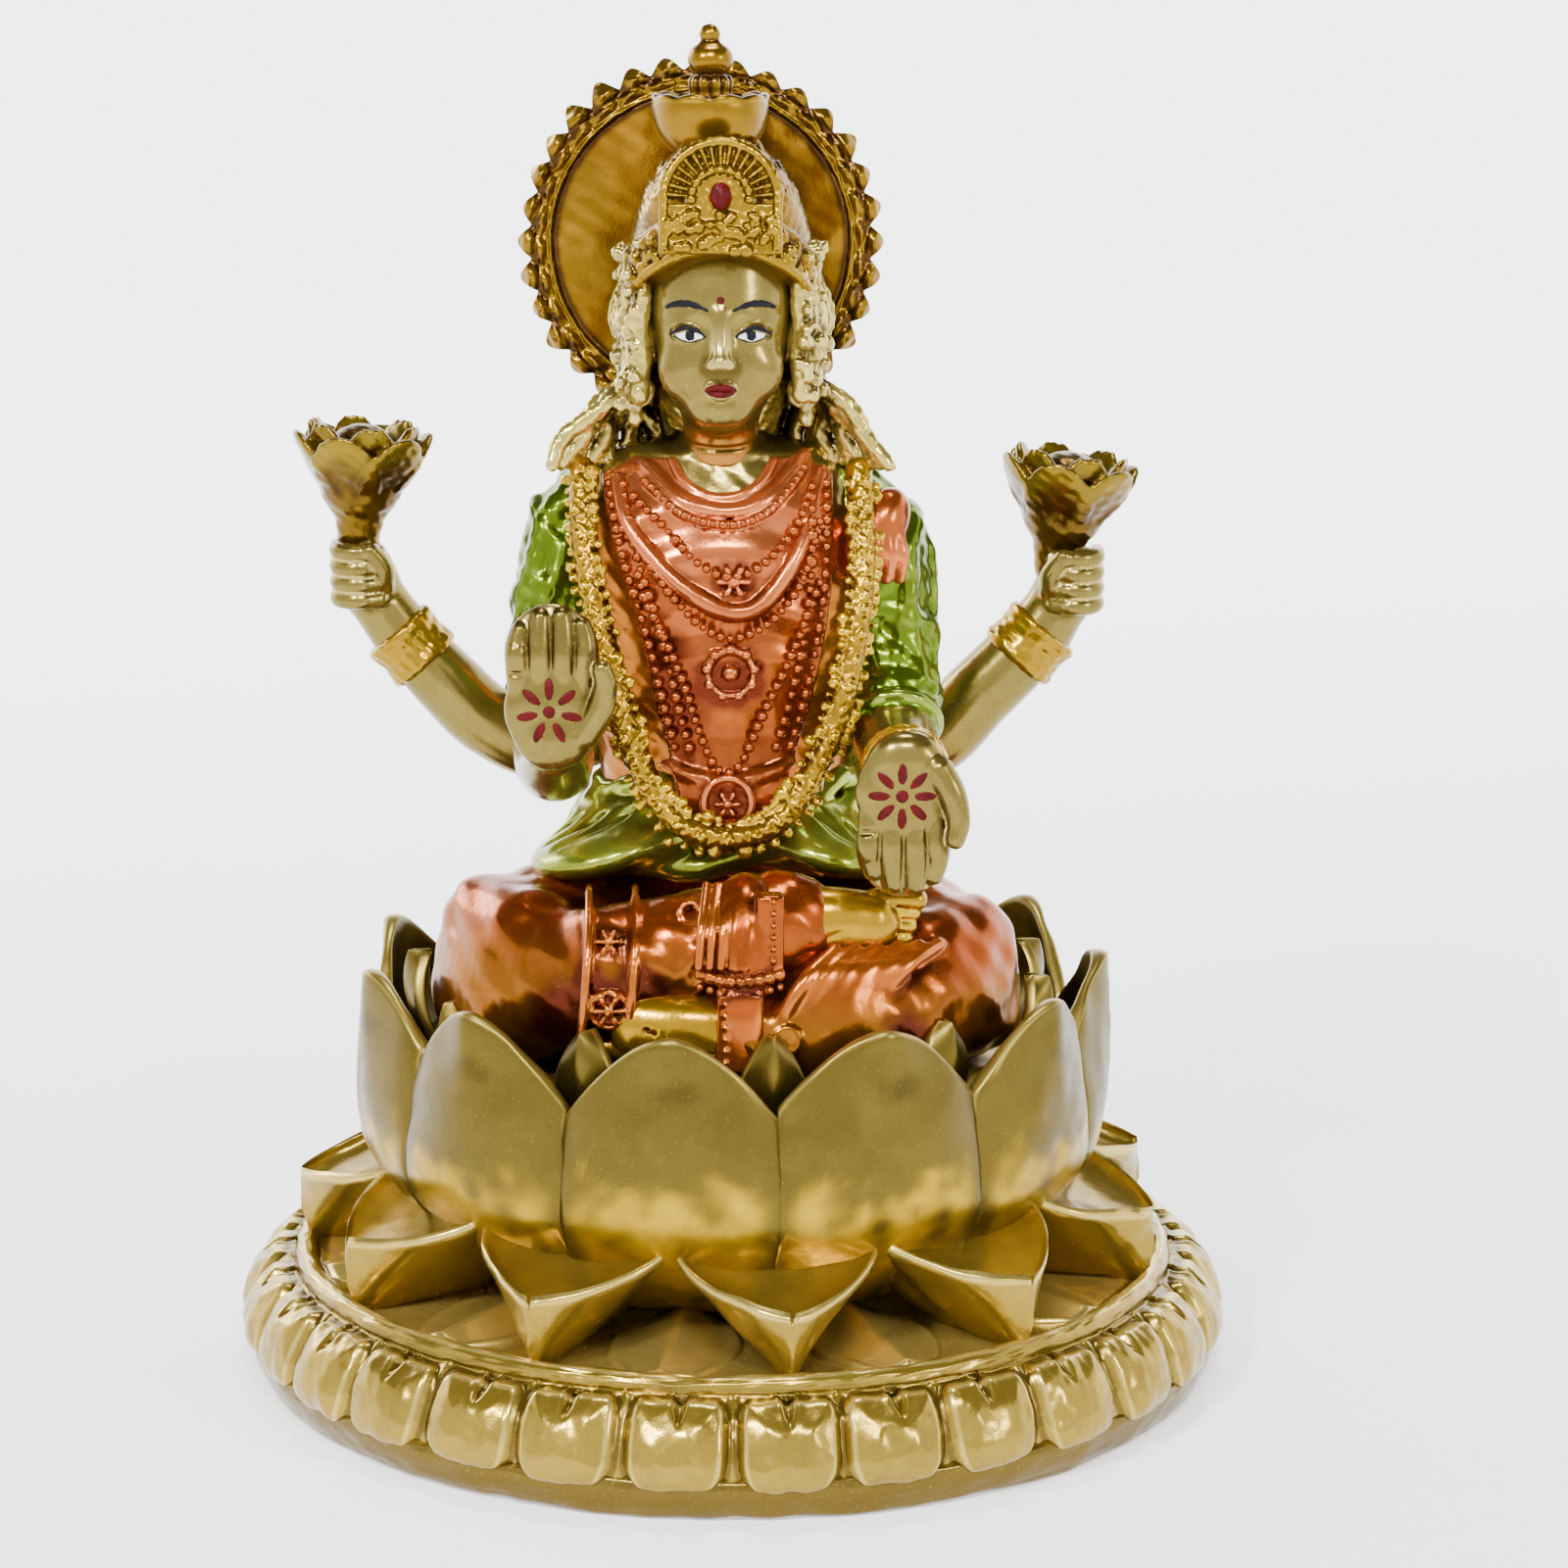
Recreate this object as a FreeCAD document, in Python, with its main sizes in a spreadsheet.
import FreeCAD, Part
import math
import os
import Sketcher
from FreeCAD import Placement, Rotation, Vector

# A painted resin statuette: a four-armed goddess seated cross-legged in a lotus on a round plinth.
# Millimetres. +Z is up, the origin is the centre of the underside, and the figure faces -Y.
# "right" and "left" are the figure's own, so the right arm is on the -X side.

doc = FreeCAD.newDocument("lotus_deity_statue")
sheet = doc.addObject("Spreadsheet::Sheet", "sizes")

DRIVING = {
    # plinth
    "base_radius": 33.0, "foot_radius": 31.8, "bulge_height": 3.0, "floor_height": 7.2,
    "band_inner_radius": 29.5, "band_relief": 0.6, "band_liner": 0.25, "band_count": 30,
    "rim_radius": 28.6, "rim_width": 1.3, "rim_top": 8.2,
    # lotus
    "petal_count": 11, "cup_radius": 25.2, "cup_tip_height": 27.9, "cup_half_width": 6.4,
    "cup_foot_height": 8.8, "petal_wall": 1.2, "spread_tip_radius": 29.0, "spread_top": 12.4,
    "seat_radius": 17.2, "seat_height": 22.6, "inner_tip_radius": 22.3,
    # sockets and spigots between the castings
    "spigot_radius": 4.0, "waist_spigot_radius": 3.0, "spigot_length": 2.8, "spigot_play": 0.05,
    # folded legs
    "knee_out": 13.4, "knee_height": 27.6, "knee_girth": 4.6, "hip_girth": 5.5,
    "shin_girth": 3.5, "foot_girth": 2.4,
    # torso
    "waist_height": 34.0, "waist_half": 8.3, "waist_depth": 5.9, "chest_half": 9.4,
    "chest_depth": 6.3, "shoulder_height": 60.5, "panel_wall": 0.9, "garland_girth": 1.15,
    "bead_radius": 0.45,
    # arms and hands
    "sleeve_out": 11.0, "sleeve_girth": 3.0, "arm_girth": 2.6, "wrist_girth": 2.2,
    "palm_half": 3.15, "palm_length": 10.2, "palm_wall": 2.0, "bangle_girth": 0.5,
    "rear_girth": 2.3, "bloom_radius": 4.7, "bloom_height": 6.4, "bloom_wall": 0.8,
    # head, crown and halo
    "head_shift": -0.73, "head_half": 4.9, "head_depth": 5.0, "head_rise": 6.3,
    "head_height": 68.9, "neck_radius": 2.7, "crown_half": 6.3, "crown_base": 72.4,
    "crown_rise": 9.0, "plaque_half": 4.1, "plaque_height": 77.6, "halo_shift": -2.05,
    "halo_height": 73.8, "halo_back": 5.9, "halo_radius": 12.0, "disc_radius": 9.7,
    "halo_wall": 1.5, "halo_teeth": 32, "bowl_radius": 3.85, "bowl_rim_height": 82.7,
    "total_height": 88.0,
}


class Dim:
    """A size worked out from the sheet: its value now, and the formula that keeps it bound."""

    def __init__(self, value, formula):
        self.value = value
        self.formula = formula

    def join(self, sign, other, value):
        return Dim(value, f"({self.formula} {sign} {as_dim(other).formula})")

    def __add__(self, other):
        return self.join("+", other, self.value + as_dim(other).value)

    def __sub__(self, other):
        return self.join("-", other, self.value - as_dim(other).value)

    def __mul__(self, other):
        return self.join("*", other, self.value * as_dim(other).value)

    def __neg__(self):
        return self * -1

    def __rsub__(self, other):
        return as_dim(other) - self

    __radd__ = __add__
    __rmul__ = __mul__


def as_dim(number):
    return number if isinstance(number, Dim) else Dim(number, f"{number:.6g}")


def dim(alias):
    return Dim(DRIVING[alias], f"sizes.{alias}")


def fill_sheet():
    for row, (alias, value) in enumerate(DRIVING.items(), start=1):
        sheet.set(f"A{row}", alias)
        sheet.set(f"B{row}", str(value))
        sheet.setAlias(f"B{row}", alias)
    doc.recompute()


def bind(thing, prop, size):
    """Sets a property of a document object to a size and ties it to the sheet."""
    size = as_dim(size)
    thing.setExpression(prop, size.formula)


def place(thing, where, rotation=None):
    """Puts an object at a bound position, turned by a fixed rotation."""
    centre = Vector(*(as_dim(c).value for c in where))
    thing.Placement = Placement(centre, rotation or Rotation())
    for axis, size in zip("xyz", where):
        bind(thing, f".Placement.Base.{axis}", size)
    return thing


# ---------------------------------------------------------------- building blocks


def ellipsoid(name, where, radii, rotation=None):
    solid = doc.addObject("Part::Ellipsoid", name)
    for prop, size in zip(("Radius2", "Radius3", "Radius1"), radii):
        bind(solid, prop, size)
    solid.Angle1, solid.Angle2, solid.Angle3 = -90, 90, 360
    return place(solid, where, rotation)


def ball(name, where, radius):
    solid = doc.addObject("Part::Sphere", name)
    bind(solid, "Radius", radius)
    return place(solid, where)


def cylinder(name, where, radius, length, rotation=None):
    solid = doc.addObject("Part::Cylinder", name)
    bind(solid, "Radius", radius)
    bind(solid, "Height", length)
    return place(solid, where, rotation)


def box(name, where, sides, rotation=None):
    """A box whose lowest corner is at where."""
    solid = doc.addObject("Part::Box", name)
    for prop, size in zip(("Length", "Width", "Height"), sides):
        bind(solid, prop, size)
    return place(solid, where, rotation)


def torus(name, where, radius, girth, rotation=None):
    solid = doc.addObject("Part::Torus", name)
    bind(solid, "Radius1", radius)
    bind(solid, "Radius2", girth)
    return place(solid, where, rotation)


def fused(name, solids):
    joined = doc.addObject("Part::MultiFuse", name)
    joined.Shapes = solids
    joined.Refine = False
    return joined


def cut(name, solid, *tools):
    """The solid less each tool in turn."""
    for i, tool in enumerate(tools):
        step = doc.addObject("Part::Cut", f"{name}_less_{i}")
        step.Base, step.Tool = solid, tool
        solid = step
    return solid


def common(name, first, second):
    both = doc.addObject("Part::Common", name)
    both.Base, both.Tool = first, second
    return both


def facing(direction):
    """The rotation that turns +Z to a direction."""
    return Rotation(Vector(0, 0, 1), direction)


def limb(name, stations):
    """A smooth limb through (x, y, z, radius) stations."""
    centres = [Vector(*(as_dim(c).value for c in s[:3])) for s in stations]
    rings = []
    for i, station in enumerate(stations):
        ahead = centres[min(i + 1, len(centres) - 1)] - centres[max(i - 1, 0)]
        ring = doc.addObject("Part::Circle", f"{name}_ring_{i}")
        bind(ring, "Radius", station[3])
        rings.append(place(ring, station[:3], facing(ahead)))
    loft = doc.addObject("Part::Loft", f"{name}_loft")
    loft.Sections, loft.Solid, loft.Ruled = rings, True, False
    return loft


def oval_loft(name, stations):
    """A solid through level ovals: (x, y, z, half width, half depth), each wider than deep."""
    ovals = []
    for i, (x, y, z, half_width, half_depth) in enumerate(stations):
        oval = doc.addObject("Part::Ellipse", f"{name}_oval_{i}")
        bind(oval, "MajorRadius", half_width)
        bind(oval, "MinorRadius", half_depth)
        ovals.append(place(oval, (x, y, z)))
    loft = doc.addObject("Part::Loft", f"{name}_loft")
    loft.Sections, loft.Solid, loft.Ruled = ovals, True, False
    return loft


def draw(sketch, corners):
    """Closes a sketch through bound corners. A corner (across, up, bulge) starts an arc that stands
    bulge times its half chord proud of the chord, and (across, up) starts a straight line."""
    count = len(corners)
    for i, corner in enumerate(corners):
        following = corners[(i + 1) % count]
        start = Vector(as_dim(corner[0]).value, as_dim(corner[1]).value, 0)
        end = Vector(as_dim(following[0]).value, as_dim(following[1]).value, 0)
        if len(corner) == 3:
            chord = end - start
            out = Vector(chord.y, -chord.x, 0) * (corner[2] / 2)
            sketch.addGeometry(Part.Arc(start, (start + end) / 2 + out, end), False)
        else:
            sketch.addGeometry(Part.LineSegment(start, end), False)
    ends = []
    for i, corner in enumerate(corners):
        arc_runs_back = len(corner) == 3 and corner[2] < 0
        ends.append((2, 1) if arc_runs_back else (1, 2))
    for i in range(count):
        sketch.addConstraint(
            Sketcher.Constraint("Coincident", i, ends[i][1], (i + 1) % count, ends[(i + 1) % count][0])
        )
    for i, corner in enumerate(corners):
        for kind, size in zip(("DistanceX", "DistanceY"), corner):
            size = as_dim(size)
            n = sketch.addConstraint(Sketcher.Constraint(kind, -1, 1, i, ends[i][0], size.value))
            sketch.setExpression(f"Constraints[{n}]", size.formula)
    for i, corner in enumerate(corners):
        if len(corner) == 3:
            sketch.addConstraint(Sketcher.Constraint("Radius", i, sketch.Geometry[i].Radius))
    return sketch


def plane_of(body, role):
    return next(f for f in body.Origin.OriginFeatures if f.Role == role)


def outline(body, name, role, corners):
    """A bound outline on one of a body's own origin planes."""
    sketch = body.newObject("Sketcher::SketchObject", name)
    sketch.AttachmentSupport = (plane_of(body, role), [""])
    sketch.MapMode = "FlatFace"
    return draw(sketch, corners)


def padded(label, corners, depth, where=(0, 0, 0), rotation=None):
    """A body whose upright outline is padded evenly to both sides of its XZ plane."""
    body = doc.addObject("PartDesign::Body", label)
    pad = body.newObject("PartDesign::Pad", f"{label}_pad")
    pad.Profile = outline(body, f"{label}_outline", "XZ_Plane", corners)
    pad.SideType = "Symmetric"
    bind(pad, "Length", depth)
    return place(body, where, rotation)


def leaf_sections(name, stations):
    """Upright sketches across a leaf that runs towards -Y. A station is (reach, half width, edge
    height, sag of the middle, half width at the foot, height of the foot)."""
    sketches = []
    for i, (reach, half, edge, sag, foot_half, foot) in enumerate(stations):
        sketch = doc.addObject("Sketcher::SketchObject", f"{name}_section_{i}")
        draw(sketch, [(-foot_half, foot), (foot_half, foot), (half, edge), (0, edge - sag), (-half, edge)])
        sketches.append(place(sketch, (0, -reach, 0), Rotation(Vector(1, 0, 0), 90)))
    return sketches


def turned(label, corners, where=(0, 0, 0), rotation=None):
    """A body of revolution about its own Z, from a closed outline of (radius, height) corners."""
    body = doc.addObject("PartDesign::Body", label)
    sketch = outline(body, f"{label}_outline", "XZ_Plane", corners)
    turn = body.newObject("PartDesign::Revolution", f"{label}_turn")
    turn.Profile = sketch
    turn.ReferenceAxis = (sketch, ["V_Axis"])
    turn.Angle = 360
    place(body, where, rotation)
    return body


parts = {}


def keep(label, thing):
    """Registers the object that is a finished sub-part, and gives it the label that names its file."""
    thing.Label = label
    parts[label] = thing
    return thing


fill_sheet()

# ---------------------------------------------------------------- plinth


def plinth():
    """The round base: a foot, a swelling side, a raised rim round a level floor, and a socket."""
    floor, rim, half_rim = dim("floor_height"), dim("rim_radius"), dim("rim_width") * 0.5
    shoulder = dim("rim_top") - 0.4
    body = turned("plinth_turned", [
        (0, 0),
        (dim("foot_radius"), 0, 0.06),
        (dim("base_radius") - dim("band_relief"), dim("bulge_height"), 0.5),
        (dim("band_inner_radius"), floor),
        (rim + half_rim, floor),
        (rim + half_rim, shoulder, 0.6),
        (rim - half_rim, shoulder),
        (rim - half_rim, floor),
        (0, floor),
    ])
    socket = cylinder("plinth_socket", (0, 0, floor - 3), dim("spigot_radius"), 6)
    keep("base_plinth", cut("plinth", body, socket))
    return body


def petal_band(plinth_body):
    """The relief of notched petals round the swelling side, on a thin liner."""
    bottom = dim("bulge_height") * 0.75
    inner, floor = dim("band_inner_radius"), dim("floor_height")

    def side(proud):
        widest = dim("base_radius") - dim("band_relief") + proud
        return [(inner, bottom), (widest - 0.1, bottom), (widest, dim("bulge_height"), 0.5), (inner, floor)]

    body = doc.addObject("PartDesign::Body", "band_body")
    liner = body.newObject("PartDesign::Revolution", "band_liner_turn")
    liner.Profile = outline(body, "band_liner_outline", "XZ_Plane", side(dim("band_liner")))
    liner.ReferenceAxis = (liner.Profile[0], ["V_Axis"])
    liner.Angle = 360
    petal = body.newObject("PartDesign::Revolution", "band_petal_turn")
    petal.Profile = outline(body, "band_petal_outline", "XZ_Plane", side(dim("band_relief")))
    petal.ReferenceAxis = (petal.Profile[0], ["V_Axis"])
    petal.Angle = 360 / DRIVING["band_count"] - 1.6
    doc.recompute()
    ring = body.newObject("PartDesign::PolarPattern", "band_ring")
    ring.Originals = [petal]
    ring.Axis = (body.Origin.OriginFeatures[2], [""])
    ring.Angle = 360
    ring.Occurrences = DRIVING["band_count"]
    body.Tip = ring
    keep("base_petal_band", cut("band", body, plinth_body))


# ---------------------------------------------------------------- lotus


def seat():
    """The solid heart of the lotus, which plugs into the plinth and carries the figure."""
    floor, top, foot = dim("floor_height"), dim("seat_height"), dim("seat_radius")
    spigot = dim("spigot_radius") - dim("spigot_play")
    below = floor - dim("spigot_length")
    body = turned("seat_turned", [
        (0, below),
        (spigot, below),
        (spigot, floor),
        (foot - 2.7, floor),
        (foot - 1.2, floor + 2),
        (foot + 1.0, floor + 4.8, 0.1),
        (foot + 3.6, top - 2.5, 0.2),
        (foot + 2.4, top - 1),
        (foot - 2, top),
        (0, top),
    ])
    socket = cylinder("seat_socket", (0, 0, top - 3), dim("spigot_radius"), 6)
    keep("lotus_seat", cut("seat", body, socket))
    return body


def petal_angle(i, stagger):
    """Degrees from the front, turning to the figure's left. The staggered rows sit in the gaps."""
    return -9.5 + (i + stagger / 2) * 360 / DRIVING["petal_count"]


def turn_to(thing, degrees):
    thing.Placement = Placement(Vector(), Rotation(Vector(0, 0, 1), degrees))
    return thing


def turned_copy(name, master, degrees):
    """A master petal again, turned about the axis of the lotus."""
    copy = doc.addObject("Part::Compound", name)
    copy.Links = [master]
    return turn_to(copy, degrees)


def sector(name):
    """The slice of the lotus that one petal of a row may fill, centred on the front."""
    slice_of = cylinder(name, (0, 0, 0), 40, 40)
    slice_of.Angle = 360 / DRIVING["petal_count"] - 0.2
    return turn_to(slice_of, -90 - slice_of.Angle.Value / 2)


def shell(name, centre, radii, wall):
    """A hollow egg, with the solid one that it was cut from."""
    outer = ellipsoid(f"{name}_outer", centre, radii)
    inner = ellipsoid(f"{name}_inner", centre, [as_dim(r) - wall for r in radii])
    return cut(f"{name}_shell", outer, inner), outer


def cup_petals(heart):
    """Eleven upright petals, each a piece of a hollow egg trimmed to a broad pointed outline."""
    reach = dim("cup_radius") - 11.7
    radii = (dim("cup_half_width") + 4.4, 11.7, 15.5)
    hollow, egg = shell("cup", (0, -reach, 23), radii, dim("petal_wall"))
    foot, tip, half = dim("cup_foot_height"), dim("cup_tip_height"), dim("cup_half_width")
    face = padded("cup_face", [
        (-4.2, foot), (4.2, foot, 0.12),
        (half, 18, 0.08), (half - 0.5, 23, 0.22), (0, tip, 0.22),
        (0.5 - half, 23, 0.08), (-half, 18, 0.12),
    ], 24, (0, -24, 0))
    trimmed = common("cup_trimmed", common("cup_leaf", hollow, face), sector("cup_sector"))
    master = cut("cup_master", trimmed, heart)
    for i in range(DRIVING["petal_count"]):
        keep(f"lotus_cup_petal_{i + 1:02d}", turned_copy(f"cup_petal_{i}", master, petal_angle(i, 0)))
    return master, egg


def inner_petals():
    """The small petals that show in the gaps between the cup petals."""
    reach = dim("inner_tip_radius") - 6.4
    hollow, _ = shell("inner", (0, -reach, 23), (5.5, 6.4, 9), dim("petal_wall") - 0.4)
    base = dim("seat_height")
    face = padded("inner_face", [
        (-2.6, base), (2.6, base, 0.1),
        (2.3, base + 2.2, 0.2), (0, base + 4.9, 0.2), (-2.3, base + 2.2, 0.1),
    ], 12, (0, -reach - 6, 0))
    master = common("inner_master", hollow, face)
    row = doc.addObject("Part::Compound", "inner_row")
    row.Links = [
        turned_copy(f"inner_petal_{i}", master, petal_angle(i, 1)) for i in range(DRIVING["petal_count"])
    ]
    keep("lotus_inner_petals", row)


def spread_petals(heart, egg):
    """Eleven petals that arch out over the plinth, dished on top, each standing on its keel."""
    tip, top, floor = dim("spread_tip_radius"), dim("spread_top"), dim("floor_height")
    loft = doc.addObject("Part::Loft", "spread_leaf")
    loft.Sections = leaf_sections("spread", [
        (tip - 10.6, 4.6, top + 0.3, 0.5, 3.4, floor),
        (tip - 8.4, 5.0, top + 0.2, 1.0, 3.6, floor),
        (tip - 5.4, 4.2, top - 0.1, 1.0, 2.8, floor),
        (tip - 2.6, 2.7, top - 0.5, 0.6, 1.5, floor + 0.6),
        (tip, 0.45, top - 1.0, 0.1, 0.25, floor + 2.2),
    ])
    loft.Solid, loft.Ruled = True, True
    half_pitch = 180 / DRIVING["petal_count"]
    sides = [turned_copy(f"egg_beside_{i}", egg, half_pitch * (2 * i - 1)) for i in (0, 1)]
    master = cut("spread_master", loft, heart, *sides)
    for i in range(DRIVING["petal_count"]):
        keep(f"lotus_spread_petal_{i + 1:02d}", turned_copy(f"spread_petal_{i}", master, petal_angle(i, 1)))
    return master


def ground_petals(heart, cup_master, spread_master):
    """The flat ridged petals that lie on the floor between the spread ones."""
    tip, floor = dim("rim_radius") - 1.0, dim("floor_height")
    loft = doc.addObject("Part::Loft", "ground_leaf")
    loft.Sections = leaf_sections("ground", [
        (tip - 9.5, 1.6, floor + 1.4, -0.9, 1.7, floor),
        (tip - 4.5, 3.6, floor + 0.4, -1.2, 3.8, floor),
        (tip, 3.2, floor + 0.2, -0.3, 3.3, floor),
    ])
    loft.Solid, loft.Ruled = True, True
    half_pitch = 180 / DRIVING["petal_count"]
    sides = [turned_copy(f"spread_beside_{i}", spread_master, half_pitch * (2 * i - 1)) for i in (0, 1)]
    master = cut("ground_master", loft, heart, cup_master, *sides)
    row = doc.addObject("Part::Compound", "ground_row")
    row.Links = [
        turned_copy(f"ground_petal_{i}", master, petal_angle(i, 0)) for i in range(DRIVING["petal_count"])
    ]
    keep("lotus_ground_petals", row)


def lotus():
    heart = seat()
    cup_master, egg = cup_petals(heart)
    inner_petals()
    spread_master = spread_petals(heart, egg)
    ground_petals(heart, cup_master, spread_master)


petal_band(plinth())
lotus()


# ---------------------------------------------------------------- skirt and folded legs


def plug(name, where, radius):
    """A spigot that stands down from a flat face into the socket of the piece below."""
    x, y, z = where
    length = dim("spigot_length")
    return cylinder(name, (x, y, as_dim(z) - length), as_dim(radius) - dim("spigot_play"), length + 1)


def lap():
    """The seat of the skirt, which plugs into the lotus and carries the torso."""
    seat_top, waist, half = dim("seat_height"), dim("waist_height"), dim("waist_half")
    depth = dim("waist_depth")
    bulk = oval_loft("lap", [
        (0, 1.0, seat_top, half + 2.2, depth + 1.9),
        (0, 1.0, seat_top + 5, half + 2.4, depth + 2.1),
        (-0.3, 0.5, waist - 2.5, half + 1.4, depth + 1.2),
        (-0.5, 0, waist, half + 0.7, depth + 0.6),
    ])
    solid = fused("lap_plugged", [bulk, plug("lap_plug", (0, 0, seat_top), dim("spigot_radius"))])
    socket = cylinder("lap_socket", (-0.5, 0, waist - 3), dim("waist_spigot_radius"), 6)
    keep("skirt_hips", cut("hips", solid, socket))
    return solid


def legs(lap_solid, trunk):
    """Two folded legs: the right shin crosses over in front, and the left lies under it."""
    out, knee, girth = dim("knee_out"), dim("knee_height"), dim("knee_girth")
    shin, hip = dim("shin_girth"), dim("hip_girth")
    right = limb("right_leg", [
        (-5.5, 2, knee + 0.6, hip - 0.5),
        (-11.2, -3.6, knee + 1.2, hip - 0.2),
        (-out - 0.2, -8, knee + 0.1, girth + 0.1),
        (-9.5, -12.6, knee + 1.2, shin + 0.6),
        (-3, -14.3, knee + 3.3, shin + 0.1),
        (3.6, -14, knee + 4.8, shin - 0.4),
    ])
    left = limb("left_leg", [
        (5, 2, knee + 0.8, hip),
        (10.4, -3.5, knee + 1.0, hip - 0.1),
        (out - 0.2, -8.4, knee, girth - 0.1),
        (10, -13.2, knee - 0.8, shin + 0.4),
        (5.4, -16.0, knee - 1.4, shin - 0.2),
        (1.2, -17.0, knee - 1.6, shin - 0.5),
    ])
    keep("right_leg", cut("right_leg", right, lap_solid, trunk))
    keep("left_leg", cut("left_leg", left, lap_solid, right, trunk))
    return right, left


def feet(right_leg, left_leg):
    """Each foot is a tapering sole: a heel in the hem of the skirt, an arch and rounded toes."""
    girth, knee = dim("foot_girth"), dim("knee_height")
    right = limb("right_foot", [
        (2.6, -14.2, knee + 4.8, girth),
        (6.5, -14.4, knee + 5.2, girth + 0.1),
        (10.5, -13.8, knee + 5.2, girth - 0.3),
        (12.6, -13.4, knee + 5.1, girth - 1.2),
    ])
    left = limb("left_foot", [
        (1.6, -17.2, knee - 1.4, girth),
        (-2.5, -17.7, knee - 1.0, girth + 0.3),
        (-6.2, -17.2, knee - 0.7, girth - 0.2),
        (-8.2, -16.6, knee - 0.6, girth - 1.2),
    ])
    keep("right_foot", cut("right_foot", right, right_leg, left_leg))
    keep("left_foot", cut("left_foot", left, left_leg, right_leg))
    return right, left


def pleat(*under):
    """The gathered end of the skirt, which hangs over the crossing of the shins."""
    knee = dim("knee_height")
    fall = ellipsoid("pleat_fall", (0.8, -15.2, knee + 3.6), (2.7, 4.7, 4.8), Rotation(Vector(0, 0, 1), 38))
    keep("saree_pleat", cut("pleat", fall, *under))


# ---------------------------------------------------------------- torso and its cloths


def torso_stations(outset=0.0):
    """Level ovals up the body, with an outset for a cloth that lies on it."""
    waist, top = dim("waist_height"), dim("shoulder_height")
    half, depth = dim("waist_half") + outset, dim("waist_depth") + outset
    chest, front = dim("chest_half") + outset, dim("chest_depth") + outset
    return [
        (-0.5, 0, waist, half, depth),
        (-0.6, 0, waist + 6, half - 0.2, depth),
        (-0.8, -0.2, waist + 14, chest - 0.5, front),
        (-1.0, 0.2, top - 5.5, chest, front),
        (-1.0, 0.8, top - 2, chest - 0.4, front - 0.9),
        (-0.8, 1.0, top, chest - 3.4, front - 2.3),
    ]


def torso():
    """The trunk from waist to shoulders, plugged into the lap, with a socket for the neck."""
    trunk = oval_loft("trunk", torso_stations())
    waist, top = dim("waist_height"), dim("shoulder_height")
    plugged = fused("trunk_plugged", [
        trunk, plug("trunk_plug", (-0.5, 0, waist), dim("waist_spigot_radius")),
    ])
    neck = cylinder("neck_socket", (dim("head_shift"), 0, top - 3), dim("neck_radius"), 8)
    return trunk, plugged, neck


def chest_panel(trunk):
    """The pleated cloth down the front, a skin on the trunk with a round neckline."""
    cloth = oval_loft("cloth", torso_stations(dim("panel_wall")))
    top, waist = dim("shoulder_height") - 1.6, dim("waist_height")
    face = padded("panel_face", [
        (-2.9, waist + 4.4, 0.25), (2.3, waist + 4.4), (4.4, waist + 10), (5.6, waist + 18),
        (5.9, top), (2.6, top, 0.7), (-4.2, top), (-7.3, top), (-6.8, waist + 18), (-5.2, waist + 10),
    ], 12, (0, -6.5, 0))
    skin = cut("panel_skin", cloth, trunk)
    return keep("chest_panel", common("panel", skin, face))


def waistcloth(trunk, *under):
    """The folds of the blouse that puff out over the skirt."""
    waist = dim("waist_height")
    half, depth = dim("waist_half"), dim("waist_depth")
    puff = oval_loft("puff", [
        (-0.5, 0, waist, half + 0.5, depth + 0.5),
        (-0.5, 0, waist + 1.6, half + 1.5, depth + 1.3),
        (-0.5, 0, waist + 3.6, half + 0.9, depth + 0.8),
        (-0.6, 0, waist + 5.4, half + 0.2, depth + 0.3),
    ])
    return keep("blouse_waist", cut("waistcloth", puff, trunk, *under))


def sleeves():
    """The sleeves of the blouse, from the shoulders to the elbows."""
    out, girth, top = dim("sleeve_out"), dim("sleeve_girth"), dim("shoulder_height")
    right = limb("right_sleeve", [
        (-out + 2.4, 0.4, top - 2.0, girth - 0.8),
        (-out, -0.4, top - 5.0, girth - 0.1),
        (-out - 0.5, -1.6, top - 10.0, girth + 0.1),
        (-out - 0.6, -2.4, top - 15.0, girth + 0.3),
    ])
    left = limb("left_sleeve", [
        (out - 3.8, 0.4, top - 2.2, girth - 0.6),
        (out - 1.2, -0.2, top - 5.5, girth + 0.1),
        (out - 0.8, -0.8, top - 11.0, girth + 0.3),
        (out - 0.6, -2.2, top - 15.0, girth + 0.4),
        (out - 0.5, -4.6, top - 17.0, girth + 0.4),
    ])
    return right, left


def garland(*under):
    """The beaded border of the shawl, one long loop down from both shoulders."""
    girth, waist = dim("garland_girth"), dim("waist_height")
    rope = limb("garland", [
        (-9.6, -2.8, waist + 25.4, girth),
        (-9.2, -6.4, waist + 18, girth),
        (-7.8, -8.0, waist + 12, girth),
        (-5.4, -8.6, waist + 6.5, girth),
        (-0.4, -9.4, waist + 3.2, girth),
        (4.8, -8.6, waist + 6.5, girth),
        (7.2, -8.0, waist + 12, girth),
        (8.0, -6.4, waist + 18, girth),
        (8.2, -2.8, waist + 25.4, girth),
    ])
    return keep("shoulder_garland", cut("garland", rope, *under))


def cloth_front(across, up):
    """How far forward the front of the chest cloth stands, for what is worn on it."""
    rows = [[as_dim(c).value for c in row] for row in torso_stations(DRIVING["panel_wall"])]
    for low, high in zip(rows, rows[1:]):
        if low[2] <= up <= high[2]:
            share = (up - low[2]) / (high[2] - low[2])
            x, y, _, half, depth = (a + (b - a) * share for a, b in zip(low, high))
            return y - depth * math.sqrt(max(0.0, 1 - ((across - x) / half) ** 2))
    raise ValueError("outside the trunk")


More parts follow.
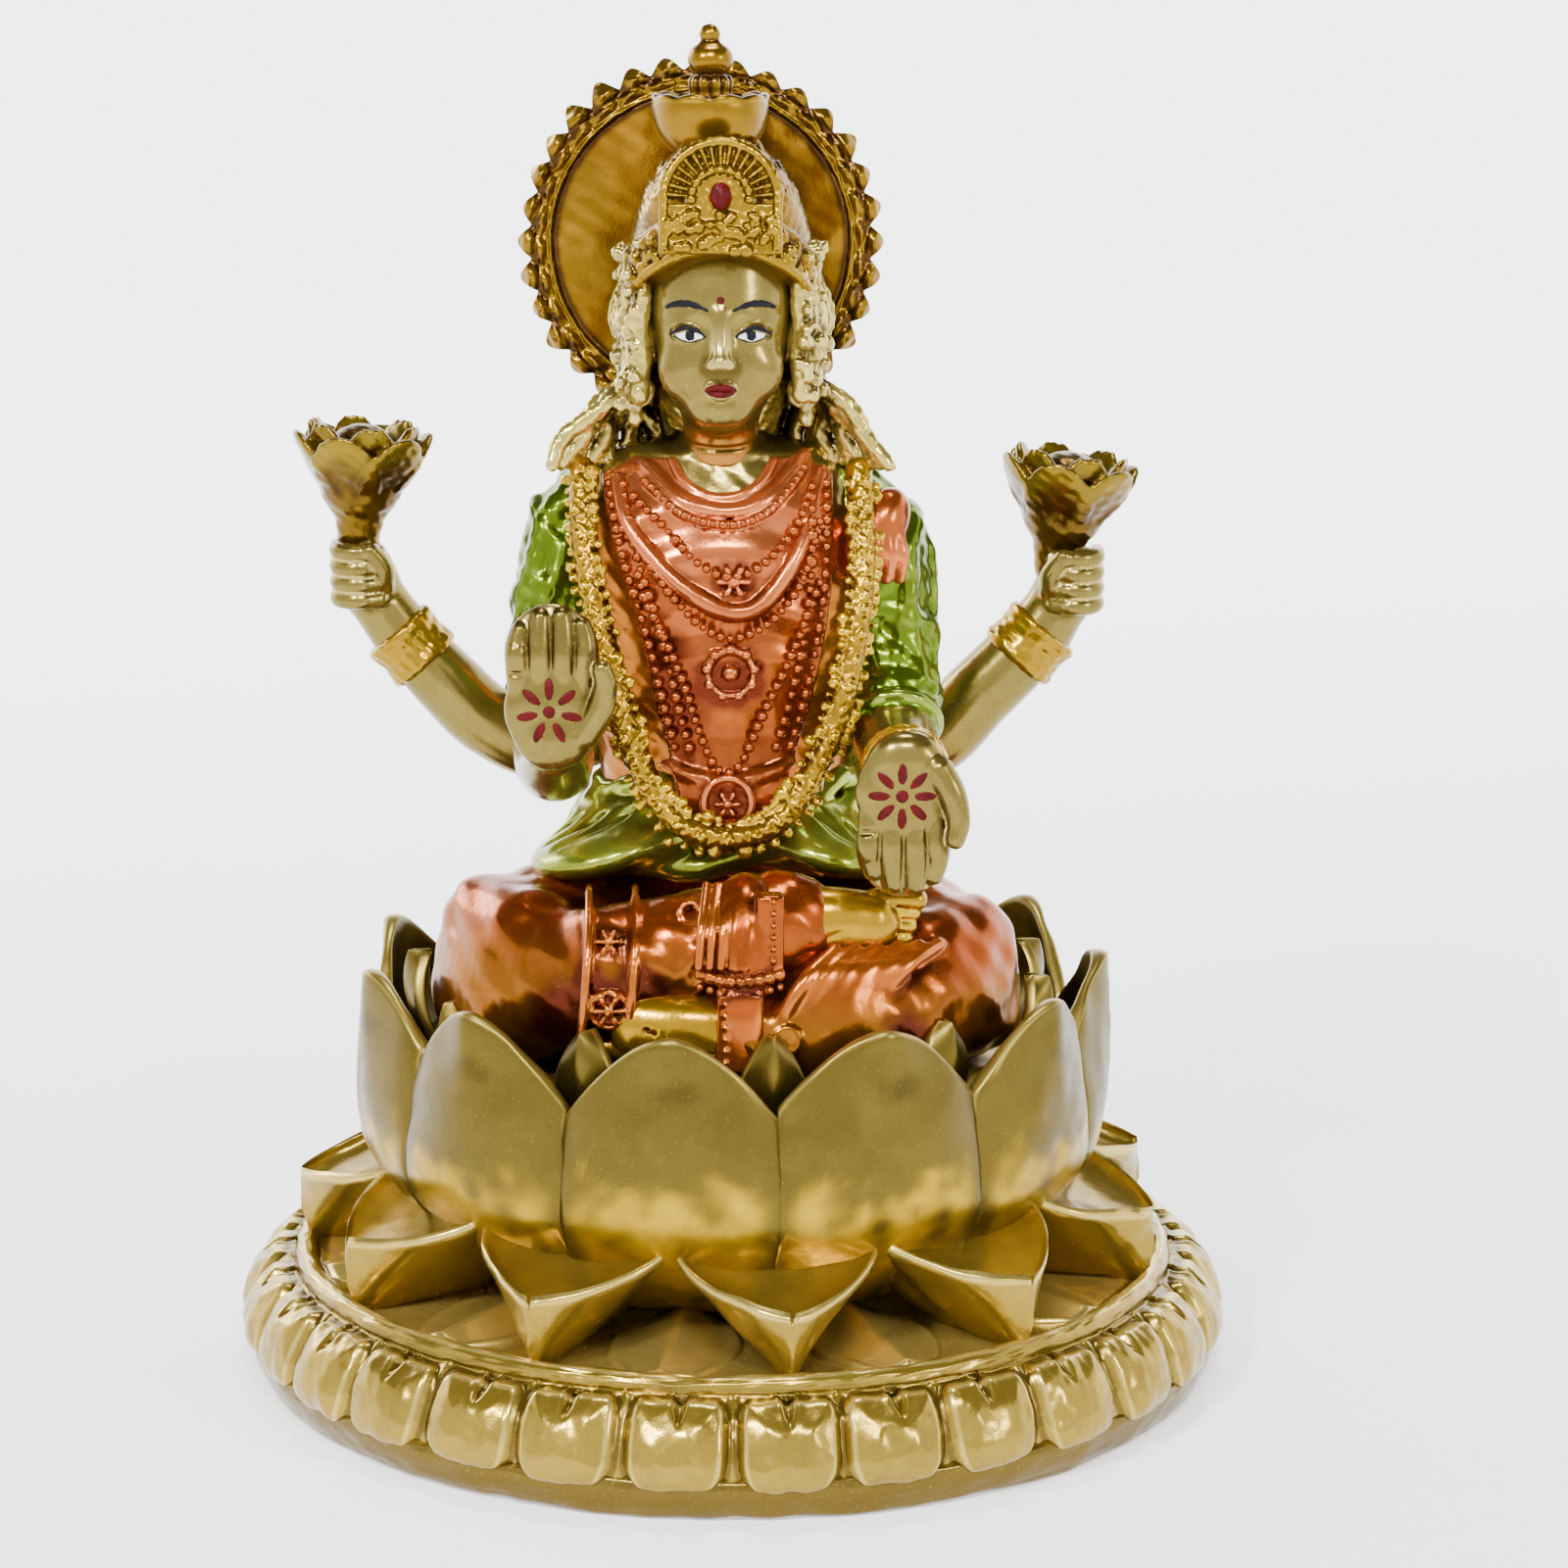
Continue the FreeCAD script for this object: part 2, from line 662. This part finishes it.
def bead_on_cloth(name, across, up, radius):
    """A bead that stands on the front of the chest cloth."""
    return ball(name, (across, as_dim(cloth_front(across, up) - 0.1) - radius, up), radius)


def strand(name, half, top, drop, count, sharp):
    """Beads in a hanging curve: sharp 2 is a round sag, and sharp 1 is a straight V."""
    beads = []
    for i in range(count):
        along = 2 * i / (count - 1) - 1
        up = top - drop * (1 - abs(along) ** sharp)
        beads.append(bead_on_cloth(f"{name}_{i}", -0.8 + half * along, up, dim("bead_radius")))
    return beads


def rosette(name, across, up, petals, reach):
    """A round pendant: a middle bead in a ring of beads."""
    beads = [bead_on_cloth(f"{name}_middle", across, up, dim("bead_radius") + 0.2)]
    for i in range(petals):
        turn = 2 * math.pi * i / petals
        x, z = across + reach * math.cos(turn), up + reach * math.sin(turn)
        beads.append(bead_on_cloth(f"{name}_{i}", x, z, dim("bead_radius") - 0.05))
    return beads


def necklaces():
    """Strands of beads and three pendants."""
    top = DRIVING["shoulder_height"] - 3.2
    worn = doc.addObject("Part::Compound", "necklace_beads")
    worn.Links = [
        *strand("upper_strand", 4.4, top, 4.2, 15, 2.0),
        *strand("middle_strand", 5.1, top - 1.5, 8.2, 23, 1.5),
        *strand("long_strand", 5.3, top - 3.0, 12.8, 29, 1.2),
        *rosette("upper_rosette", -0.4, top - 5.4, 6, 1.15),
        *rosette("middle_rosette", -0.6, top - 11.4, 8, 1.35),
        *rosette("lower_rosette", -0.7, top - 17.4, 8, 1.35),
    ]
    keep("necklaces", worn)


# ---------------------------------------------------------------- arms and hands


def hand(name, centre, down, thumb_side, wrist):
    """A flat open hand, broad at the palm and rounded over the finger tips, with three grooves
    between the fingers and a short thumb. Its fingers point up, or down if down is set."""
    half, length, wall = dim("palm_half"), dim("palm_length"), dim("palm_wall")
    x, y, z = centre
    palm = padded(f"{name}_palm", [
        (half * -0.62, length * -0.5, 0.3), (half * 0.62, length * -0.5, 0.2),
        (half * 0.98, length * -0.16, 0.05), (half * 0.94, length * 0.26, 0.4),
        (0, length * 0.5, 0.4), (half * -0.94, length * 0.26, 0.05),
        (half * -0.98, length * -0.16, 0.2),
    ], wall, centre, Rotation(Vector(0, 1, 0), 180 if down else 0))
    sign = -1 if down else 1
    lean = Rotation(Vector(0, 1, 0), 14 * sign * thumb_side)
    root = (x + thumb_side * 3.05, y - 0.35, z - sign * 0.9)
    thumb = ellipsoid(f"{name}_thumb", root, (0.95, 0.9, 3.1), lean)
    solid = fused(f"{name}_solid", [palm, thumb])
    grooves = []
    for i in (-1, 0, 1):
        low = z + 0.3 if not down else z - 5.6
        grooves.append(box(f"{name}_groove_{i + 1}", (x + i * 1.45 - 0.12, y - 1.2, low), (0.24, 0.6, 5.3)))
    return cut(f"{name}_grooved", solid, *grooves, *wrist)


def front_arms():
    """The right forearm rises to a raised palm, and the left reaches out to a lowered one. Each
    starts on the cuff of its sleeve."""
    girth, wrist = dim("arm_girth"), dim("wrist_girth")
    out, top = dim("sleeve_out"), dim("shoulder_height")
    right = limb("front_right_arm", [
        (-out - 0.6, -2.4, top - 15.0, girth + 0.2),
        (-out - 0.64, -2.7, top - 16.9, girth + 0.1),
        (-out - 0.5, -5.2, 41.5, girth + 0.1),
        (-out - 0.3, -8.8, 41.8, girth - 0.1),
        (-out - 0.2, -12.2, 43.6, wrist),
    ])
    left = limb("front_left_arm", [
        (out - 0.5, -4.6, top - 17.0, girth + 0.2),
        (out - 0.46, -5.7, top - 17.9, girth + 0.2),
        (out - 0.3, -9.6, 42.0, girth),
        (out - 0.2, -14.4, 42.4, wrist),
    ])
    keep("front_right_arm", right)
    keep("front_left_arm", left)
    ring = torus("front_left_bangle_ring", (out - 0.2, -13.4, 42.5), wrist + 0.25, dim("bangle_girth"),
                 facing(Vector(-0.02, -1, -0.1)))
    keep("front_left_bangle", cut("front_left_bangle", ring, left))
    raised = hand("raised", (-out - 0.2, -13.8, 48.2), False, 1, [right])
    lowered = hand("lowered", (out - 0.4, -16.9, 39.7), True, 1, [left, ring])
    keep("front_right_hand", raised)
    keep("front_left_hand", lowered)


def rear_arm(side, stations, bracelet, lean, bloom_at, hold, *under):
    """A raised rear arm that ends in a closed hand, with a bangle and a lotus bloom in the hand."""
    girth = dim("rear_girth")
    arm = limb(f"{side}_rear", [(x, y, z, girth + extra) for x, y, z, extra in stations])
    bloom = bloom_solid(f"{side}_bloom", bloom_at, lean)
    keep(f"rear_{side}_arm", cut(f"{side}_rear_arm", arm, *under))
    spin = Rotation(Vector(0, 0, 1), 35)
    ring = torus(f"{side}_rear_ring", bracelet, girth + 0.35, 0.75, facing(Vector(*hold)) * spin)
    keep(f"rear_{side}_bangle", cut(f"{side}_rear_bangle", ring, arm))
    keep(f"rear_{side}_lotus", cut(f"{side}_rear_lotus", bloom, arm))


def bloom_solid(name, where, lean):
    """A small open lotus: a bowl with a scalloped rim round a low seed pod."""
    radius, height, wall = dim("bloom_radius"), dim("bloom_height"), dim("bloom_wall")
    bowl = turned(f"{name}_bowl", [
        (0, 0), (1.3, 0, 0.1), (radius * 0.72, height * 0.38, 0.15), (radius, height),
        (radius - wall, height, -0.15), (radius * 0.55, height * 0.5), (2.0, height * 0.42),
        (1.8, height * 0.82), (0, height * 0.86),
    ], where, lean)
    rim = Vector(*where) + lean.multVec(Vector(0, 0, DRIVING["bloom_height"] + 0.5))
    notches = []
    for i in range(6):
        out = lean * Rotation(Vector(0, 0, 1), i * 60 + 15)
        start = rim + out.multVec(Vector(DRIVING["bloom_radius"] * 0.62, 0, 0))
        notches.append(cylinder(f"{name}_notch_{i}", tuple(start), 1.15, 6, out * facing(Vector(1, 0, 0))))
    return cut(f"{name}_scalloped", bowl, *notches)


# ---------------------------------------------------------------- head, crown and halo


def head(neck):
    centre = (dim("head_shift"), -2.5, dim("head_height"))
    skull = ellipsoid("skull", centre, (dim("head_half"), dim("head_depth"), dim("head_rise")))
    top = dim("shoulder_height")
    throat = limb("throat", [
        (dim("head_shift"), 0, top - 2.8, dim("neck_radius") - dim("spigot_play")),
        (dim("head_shift"), 0, top + 0.2, dim("neck_radius") - dim("spigot_play")),
        (dim("head_shift"), -0.7, top + 4.4, dim("neck_radius")),
    ])
    return fused("head_and_neck", [skull, throat])


def hair(*under):
    """Long locks that fall behind the ears and spread on the shoulders."""
    middle, top = dim("head_shift"), dim("shoulder_height")
    fall = oval_loft("hair", [
        (middle - 0.2, 1.8, top, 9.4, 2.9),
        (middle, 1.6, top + 2.0, 8.2, 3.2),
        (middle, 1.2, top + 5.5, 7.2, 3.7),
        (middle, 0.6, dim("crown_base"), 6.5, 4.6),
    ])
    return keep("hair", cut("hair_fall", fall, *under))


def crown(head_solid):
    """A domed crown with a raised plaque and a gem on its front."""
    middle, base = dim("head_shift"), dim("crown_base")
    dome = ellipsoid("dome", (middle, -1.9, base), (dim("crown_half"), 6.0, dim("crown_rise")))
    dome.Angle1 = 0
    plaque = turned("plaque", [
        (0, 0), (dim("plaque_half") - 0.4, 0), (dim("plaque_half"), 0.4), (dim("plaque_half") - 0.7, 0.9),
        (0, 0.7),
    ], (middle, -7.0, dim("plaque_height")), facing(Vector(0, -1, 0.22)))
    gem = ellipsoid("gem", (middle, -8.2, dim("plaque_height") - 0.4), (0.75, 0.9, 1.05))
    keep("crown_plaque", cut("crown_plaque", plaque, dome))
    keep("crown_gem", cut("crown_gem", gem, plaque, dome))
    return dome


def finial(dome):
    """A footed bowl with a lid and a knob, pegged into the top of the crown."""
    radius, rim, top = dim("bowl_radius"), dim("bowl_rim_height"), dim("total_height")
    vessel = turned("finial", [
        (0, rim - 5.4), (1.4, rim - 5.4), (1.4, rim - 3.6), (2.2, rim - 3.0, 0.2),
        (radius, rim - 0.5), (radius, rim, 0.1), (1.4, rim + 0.7), (1.05, rim + 1.4),
        (1.6, rim + 2.0, 0.5), (1.3, rim + 3.3), (0.55, rim + 3.9), (0.75, rim + 4.4, 0.3),
        (0.3, top), (0, top),
    ], (dim("head_shift") - 0.8, -0.4, 0))
    keep("kalasha_finial", vessel)
    return vessel


def halo(*under):
    """The sun disc behind the head: a dished plate in a rim with a row of teeth."""
    wall, disc, outer = dim("halo_wall"), dim("disc_radius"), dim("halo_radius")
    where = (dim("halo_shift"), dim("halo_back"), dim("halo_height"))
    forward = facing(Vector(0, -1, 0))
    plate = turned("halo_plate", [
        (0, 0), (disc, 0), (disc, wall - 0.2), (disc * 0.4, wall - 0.7), (0, wall - 0.8),
    ], where, forward)
    body = doc.addObject("PartDesign::Body", "rim_body")
    ring = body.newObject("PartDesign::Revolution", "rim_turn")
    ring.Profile = outline(body, "rim_outline", "XZ_Plane", [
        (disc, 0), (outer - 0.7, 0), (outer - 0.7, wall - 0.2), (disc + 1.2, wall + 0.3, 0.3),
        (disc, wall - 0.1),
    ])
    ring.ReferenceAxis = (ring.Profile[0], ["V_Axis"])
    ring.Angle = 360
    tooth = body.newObject("PartDesign::Pad", "rim_tooth")
    tooth.Profile = outline(body, "tooth_outline", "XY_Plane", [
        (-0.72, outer - 1.2), (0.72, outer - 1.2), (0.72, outer - 0.6, 0.9), (-0.72, outer - 0.6),
    ])
    bind(tooth, "Length", wall - 0.2)
    doc.recompute()
    teeth = body.newObject("PartDesign::PolarPattern", "rim_teeth")
    teeth.Originals = [tooth]
    teeth.Axis = (plane_of(body, "Z_Axis"), [""])
    teeth.Angle = 360
    teeth.Occurrences = DRIVING["halo_teeth"]
    body.Tip = teeth
    place(body, where, forward)
    keep("halo_disc", cut("halo_disc", plate, *under))
    keep("halo_rim", cut("halo_rim", body, *under))


def figure():
    lap_solid = lap()
    trunk, plugged, neck = torso()
    right_leg, left_leg = legs(lap_solid, trunk)
    right_foot, left_foot = feet(right_leg, left_leg)
    pleat(right_leg, left_leg, left_foot)
    panel = chest_panel(trunk)
    puff = waistcloth(trunk, right_leg, left_leg, panel)
    right_sleeve, left_sleeve = sleeves()
    rope = garland(trunk, panel, puff, right_sleeve, left_sleeve)
    keep("torso", cut("torso", plugged, neck))
    front_arms()
    keep("right_sleeve", cut("right_sleeve_worn", right_sleeve, trunk))
    keep("left_sleeve", cut("left_sleeve_worn", left_sleeve, trunk))
    fold = ellipsoid("fold_bulk", (9.2, -2.4, 55.6), (2.2, 2.6, 3.6), Rotation(Vector(0, 1, 0), 28))
    keep("shawl_fold", cut("shawl", fold, trunk, left_sleeve, rope, panel))
    necklaces()
    rear_arm("right", [
        (-7.5, 4, 42.6, 0.4), (-12.5, 4.4, 40.6, 0.2), (-16.2, 4.4, 42.0, 0.1), (-18.8, 4, 44.5, 0),
        (-21.5, 4, 47.5, -0.2), (-23.6, 4, 50.4, -0.4), (-25.0, 4, 53.0, 0.2), (-25.8, 4, 56.0, -0.7),
    ], (-21.3, 4, 47.2), facing(Vector(0.06, 0, 1)), (-24.6, 4, 56.2), (-0.66, 0, 0.75), trunk, right_sleeve)
    rear_arm("left", [
        (8.0, 4, 41.4, 0.4), (12.9, 4.2, 40.6, 0.2), (16.5, 4, 44.0, 0.1), (19.8, 4, 47.4, 0),
        (22.0, 4, 50.4, -0.3), (23.6, 4, 53.0, 0.2), (23.6, 4, 55.2, -0.7),
    ], (19.8, 4, 47.4), facing(Vector(0.14, 0, 1)), (21.6, 4, 54.4), (0.66, 0, 0.75), trunk, left_sleeve)
    head_solid = head(neck)
    dome = crown(head_solid)
    vessel = finial(dome)
    keep("head", head_solid)
    keep("crown", cut("crown_worn", dome, head_solid, vessel))
    locks = hair(head_solid)
    halo(dome, locks, vessel)


figure()

# ---------------------------------------------------------------- check and write


def finish():
    os.makedirs("parts", exist_ok=True)
    doc.recompute()
    for thing in doc.Objects:
        if {"Invalid", "Error"} & set(thing.State):
            raise RuntimeError(f"{thing.Name} ({thing.Label}) failed: {thing.State}")
    bad = []
    for label, thing in parts.items():
        shape = thing.Shape
        if shape.isNull() or not shape.isValid() or not shape.Solids:
            bad.append(label)
            continue
        shape.exportStep(f"parts/{label}.step")
        size = shape.optimalBoundingBox(False)
        print(f"{label:26s}{len(shape.Solids):3d} solids {shape.Volume:9.1f} mm3  "
              f"x {size.XMin:6.1f} {size.XMax:6.1f}  y {size.YMin:6.1f} {size.YMax:6.1f}  "
              f"z {size.ZMin:6.1f} {size.ZMax:6.1f}")
    if bad:
        raise RuntimeError(f"no valid solid: {bad}")


finish()
